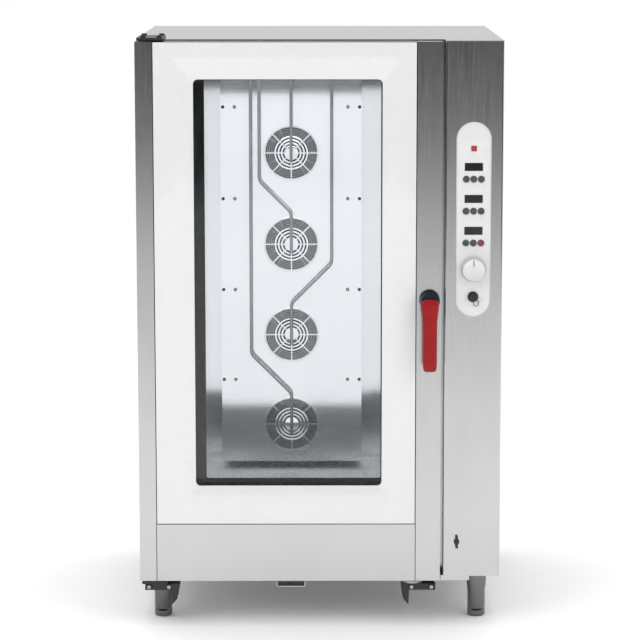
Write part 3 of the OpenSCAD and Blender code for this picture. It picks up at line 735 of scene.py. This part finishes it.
def feet():
    """Four adjustable feet in tapered sleeves."""
    for side in FEET:
        low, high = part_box("foot_" + side)
        at = (low + high) / 2
        r, tall = (high.x - low.x) / 2, high.z - low.z
        foot = lathe("adjust_foot_" + side, [
            (0, 0), (r * 0.80, 0), (r * 0.93, 0.002), (r, 0.007), (r, 0.024), (r * 0.96, 0.026),
            (r * 0.96, 0.029), (r, 0.031), (r, tall), (0, tall)], (at.x, at.y, low.z), UP, 64)
        finish_piece(foot, "foot_steel", f"foot_{side}_body", ["foot_" + side])
    low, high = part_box("foot_sleeves")
    r, bore_r, tall = SLEEVE_R, SLEEVE_BORE_R, high.z - low.z
    bm = bmesh.new()
    for side in FEET:
        at = middle("foot_" + side)
        add_lathe(bm, [(bore_r, 0), (r * 0.92, 0), (r * 0.93, 0.003), (r, tall * 0.55), (r, tall),
                       (bore_r, tall), (bore_r, 0)], (at.x, at.y, low.z), UP, 64)
    finish_piece(from_bmesh("leg_sleeves", bm), "foot_steel", "root",
                 ["foot_sleeves"])


def hook_bolts():
    """Two bolts on each docking hook."""
    low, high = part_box("docking_hooks")
    bolts = [(x, FRONT_Y + 0.0045, high.z - BOLT_DROP)
             for x in (low.x + HOOK_HALF - 0.042, low.x + HOOK_HALF + 0.022,
                       high.x - HOOK_HALF + 0.042, high.x - HOOK_HALF - 0.022)]
    finish_piece(lathes("hook_bolts", screw_head(0.0062, 0.0026), bolts, FORWARD), "roller_grey",
                 "root")


def baffle_screws():
    """Screws in pairs on both sides of the baffle, half a pitch above each fan."""
    low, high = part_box("air_baffle")
    x, half_w = (low.x + high.x) / 2, (high.x - low.x) / 2
    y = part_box("fan_grilles")[1].y - 0.0012
    pitch = FAN_POINTS[1].z - FAN_POINTS[0].z
    points = [(x + side * reach, y, at.z + pitch / 2)
              for at in FAN_POINTS if at.z + pitch / 2 < high.z - SCREW_END
              for side in (-1, 1) for reach in (STUD_REACH, half_w - STUD_EDGE)]
    # the screws take the near-black steel of the painted shade on the fan wheels
    finish_piece(lathes("baffle_screws", screw_head(0.0058, 0.0030), points, FORWARD),
                 "painted_shade_wheel_steel", "root")


def docking_roller():
    """The flat roller of the right docking hook."""
    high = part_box("docking_hooks")[1]
    roller = lathe("docking_roller", [(0, 0), (0.031, 0), (0.034, 0.002), (0.034, 0.009),
                                      (0.031, 0.011), (0, 0.011)],
                   (high.x - 0.0745, FRONT_Y + 0.045, high.z - 0.0145), UP, 64)
    finish_piece(roller, "roller_grey", "root")


def spread(low, high, count):
    """Evenly spaced places from low to high."""
    return [low + (high - low) * k / (count - 1) for k in range(count)]


def cover_screws():
    """Screws round the back panel and down both edges of each side panel."""
    head = screw_head(0.0055, 0.0026)
    low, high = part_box("back_panel")
    points = [(x, high.y, z) for z in spread(low.z + SCREW_END, high.z - SCREW_END, 9)
              for x in (low.x + SCREW_INSET, high.x - SCREW_INSET)]
    points += [(x, high.y, z) for x in spread(low.x, high.x, 7)[1:-1]
               for z in (low.z + SCREW_INSET, high.z - SCREW_INSET)]
    finish_piece(lathes("back_screws", head, points, BACKWARD), "heater_steel", "root")
    for name, out in (("side_panel_left", -1), ("side_panel_right", 1)):
        low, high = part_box(name)
        points = [(low.x if out < 0 else high.x, y, z)
                  for y in (low.y + SCREW_INSET, high.y - SCREW_INSET)
                  for z in spread(low.z + SCREW_END, high.z - SCREW_END, 3)]
        finish_piece(lathes(name + "_screws", head, points, (out, 0, 0)), "heater_steel", "root")


def drain_strainer():
    """Four rings in the drain's sump."""
    at = (middle("chamber_floor").x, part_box("drain_pipe")[0].y + 0.0242,
          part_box("chamber_floor")[1].z - 0.0165)
    bm = bmesh.new()
    for k in range(4):
        r1 = 0.0215 - 0.0048 * k
        r0 = r1 - 0.0026
        add_lathe(bm, [(r0, 0), (r1, 0), (r1, 0.0015), (r0, 0.0015), (r0, 0)], at, UP, 48)
    finish_piece(from_bmesh("drain_strainer", bm), "liner_steel", "root")


def vent_collar():
    low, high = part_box("steam_vent")
    at, r = middle("steam_vent"), (high.x - low.x) / 2
    collar = lathe("vent_collar", [(r + 0.0002, 0), (r + 0.016, 0), (r + 0.016, 0.0015),
                                   (r + 0.002, 0.004), (r + 0.0002, 0.004), (r + 0.0002, 0)],
                   (at.x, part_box("back_panel")[1].y, at.z), BACKWARD, 96)
    finish_piece(collar, "brushed_steel", "root")


# ---- floor, light and camera ----

NEAR_FLOOR_R, FAR_FLOOR_R = 13.0, 400.0
FLOOR_TURNS = 96
CAMERA_AWAY = 8.0                                # from the door's face
CAMERA_X, CAMERA_Z = 0.0079, 2.3027
CAMERA_TILT, CAMERA_YAW = 0.1484, -0.0031
CAMERA_LENS = 143.26
CAMERA_SHIFT = (-0.0154, -0.05)


def floor_piece(name, inner_r, outer_r, material, glossy):
    """A disc, or a ring where it has an inner radius."""
    bm = bmesh.new()
    rings = [[bm.verts.new((x, y, 0)) for x, y in circle_loop(0, 0, r, FLOOR_TURNS)]
             for r in (inner_r, outer_r) if r]
    if len(rings) == 1:
        bm.faces.new(rings[0])
    else:
        for k in range(FLOOR_TURNS):
            n = (k + 1) % FLOOR_TURNS
            bm.faces.new((rings[0][k], rings[1][k], rings[1][n], rings[0][n]))
    obj = from_bmesh(name, bm)
    obj.data.materials.append(material)
    obj.visible_glossy = glossy


def studio_floor():
    """Pale to the eye everywhere, but mirrored by the steel only near the oven."""
    floor = Shader("floor", Roughness=0.9)
    floor.colour(floor.noise(0.6), grey(0.95), grey(0.96))
    floor_piece("floor_near", 0, NEAR_FLOOR_R, floor.mat, True)
    floor_piece("floor_far", NEAR_FLOOR_R, FAR_FLOOR_R, floor.mat, False)


def studio_world():
    """Soft white light all round. The steel mirrors a dark room in front and pale walls elsewhere."""
    world = bpy.data.worlds.new("studio")
    bpy.context.scene.world = world
    world.use_nodes = True
    tree = world.node_tree
    tree.nodes.clear()
    out = tree.nodes.new("ShaderNodeOutputWorld")
    soft = tree.nodes.new("ShaderNodeBackground")
    mirror = tree.nodes.new("ShaderNodeBackground")
    mix = tree.nodes.new("ShaderNodeMixShader")
    path = tree.nodes.new("ShaderNodeLightPath")
    coord = tree.nodes.new("ShaderNodeTexCoord")
    split = tree.nodes.new("ShaderNodeSeparateXYZ")
    ramp = tree.nodes.new("ShaderNodeValToRGB")
    span = tree.nodes.new("ShaderNodeMapRange")
    soft.inputs["Color"].default_value = (1, 1, 1, 1)
    soft.inputs["Strength"].default_value = 1.08
    span.inputs["From Min"].default_value = -1.0
    span.inputs["From Max"].default_value = 1.0
    ramp.color_ramp.elements[0].position = 0.12
    ramp.color_ramp.elements[0].color = (0.04, 0.04, 0.042, 1)
    ramp.color_ramp.elements[1].position = 0.62
    ramp.color_ramp.elements[1].color = (0.80, 0.80, 0.81, 1)
    tree.links.new(coord.outputs["Generated"], split.inputs["Vector"])
    tree.links.new(split.outputs["Y"], span.inputs["Value"])
    tree.links.new(span.outputs["Result"], ramp.inputs["Fac"])
    tree.links.new(ramp.outputs["Color"], mirror.inputs["Color"])
    tree.links.new(path.outputs["Is Glossy Ray"], mix.inputs["Fac"])
    tree.links.new(soft.outputs["Background"], mix.inputs[1])
    tree.links.new(mirror.outputs["Background"], mix.inputs[2])
    tree.links.new(mix.outputs["Shader"], out.inputs["Surface"])


def area(name, at, towards, size, power, glossy=True):
    data = bpy.data.lights.new(name, "AREA")
    data.shape = "RECTANGLE"
    data.size, data.size_y = size
    data.energy = power
    obj = bpy.data.objects.new(name, data)
    bpy.context.scene.collection.objects.link(obj)
    obj.location = at
    obj.rotation_euler = (Vector(towards) - Vector(at)).to_track_quat("-Z", "Y").to_euler()
    obj.visible_glossy = glossy
    obj.visible_camera = False


def studio_lights():
    """Three lights round the oven, and two inside the chamber, under its ceiling and at its mouth."""
    area("key", (-2.6, FRONT_Y - 3.2, 3.6), (0, 0, 0.9), (2.6, 2.6), 45, False)
    area("fill", (3.0, FRONT_Y - 2.6, 2.6), (0, 0, 0.9), (2.2, 2.2), 22, False)
    area("overhead", (0, 0.2, 4.6), (0, 0, 0), (3.0, 3.0), 45, False)
    low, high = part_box("chamber_liner")
    chamber = middle("chamber_liner")
    area("chamber_top", (chamber.x, chamber.y - 0.10, high.z - 0.03),
         (chamber.x, chamber.y, 0.4), (0.55, 0.40), 3.2)
    area("chamber_front", (chamber.x, low.y + 0.02, chamber.z - 0.02),
         (chamber.x, chamber.y, chamber.z - 0.02), (0.69, 1.14), 2.75)


def camera():
    data = bpy.data.cameras.new("camera")
    data.sensor_width = 36.0
    data.lens = CAMERA_LENS
    data.shift_x, data.shift_y = CAMERA_SHIFT
    obj = bpy.data.objects.new("camera", data)
    bpy.context.scene.collection.objects.link(obj)
    obj.location = (CAMERA_X, FRONT_Y - CAMERA_AWAY, CAMERA_Z)
    obj.rotation_euler = (math.pi / 2 - CAMERA_TILT, 0, CAMERA_YAW)
    bpy.context.scene.camera = obj
    bpy.context.scene.view_settings.view_transform = "Standard"


# ---- the oven, piece by piece ----

finish_cad_nodes()
door_window = inset(front_outline("outer_glass"), *WINDOW_MARGINS)
outer_door_glass(door_window)
inner_door_glass(door_window)
door_seal()
handle()
control_panel()
buttons()
knob()
probe_cap()
grilles()
injectors()
feet()
hook_bolts()
baffle_screws()
docking_roller()
cover_screws()
drain_strainer()
vent_collar()

studio_floor()
studio_world()
studio_lights()
camera()

bpy.context.view_layer.update()
